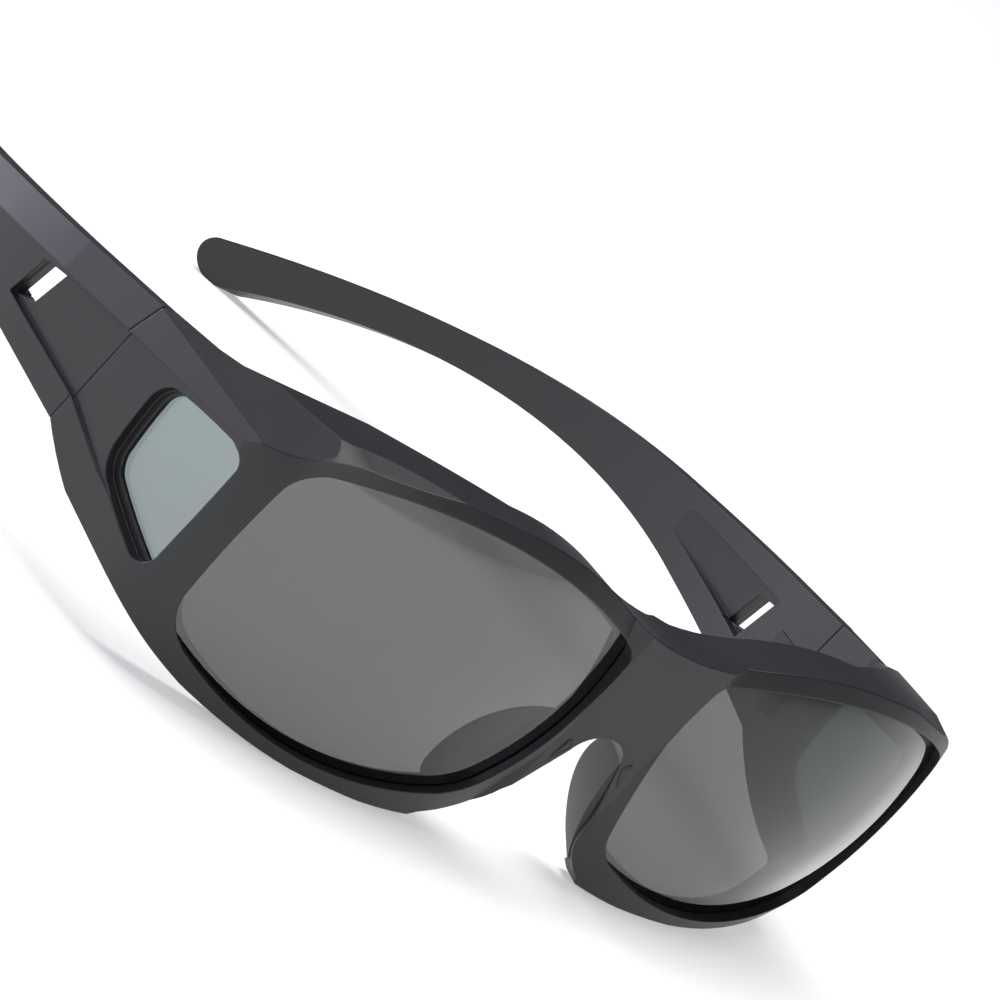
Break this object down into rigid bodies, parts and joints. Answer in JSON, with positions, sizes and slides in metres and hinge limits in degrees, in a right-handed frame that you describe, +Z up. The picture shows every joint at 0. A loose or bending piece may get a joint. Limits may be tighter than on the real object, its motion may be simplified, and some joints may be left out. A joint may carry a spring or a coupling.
{
  "type": "wraparound sunglasses",
  "caption": "Fit-over wraparound sport sunglasses with a deep rimmed front, smoked spherical lenses, side windows and bowed folding temples.",
  "frame": {"origin": "middle of the bounding box on the plane that the open glasses stand on", "axes": "+X to the wearer's right, +Y from the front towards the temple tips, +Z up, with the temples open and the glasses standing on their lower rims and temple tips"},
  "size_m": [0.1546, 0.1859, 0.0472],
  "materials": {
    "frame": "satin moulded charcoal",
    "lens": "smoke tint, polished",
    "side_lens": "pale smoke tint, polished",
    "pad": "soft grey",
    "hinge": "blackened steel"
  },
  "bodies": {
    "front": {"front_frame": "frame", "lens_right": "lens", "lens_left": "lens", "side_lens_right": "side_lens", "side_lens_left": "side_lens", "nose_pad_right": "pad", "nose_pad_left": "pad", "front_hinge_leaf_right": "hinge", "front_hinge_leaf_left": "hinge", "hinge_screw_right": "hinge", "hinge_screw_left": "hinge"},
    "right_temple": {"temple_right": "frame", "temple_hinge_leaf_right": "hinge"},
    "left_temple": {"temple_left": "frame", "temple_hinge_leaf_left": "hinge"}
  },
  "joints": [
    {"name": "right_fold", "type": "hinge", "parent": "front", "child": "right_temple", "pos_m": [0.06948, -0.04339, 0.02552], "axis": [0, 0, 1], "range_deg": [0, 88]},
    {"name": "left_fold", "type": "hinge", "parent": "front", "child": "left_temple", "pos_m": [-0.06948, -0.04339, 0.02552], "axis": [0, 0, -1], "range_deg": [0, 76]}
  ]
}
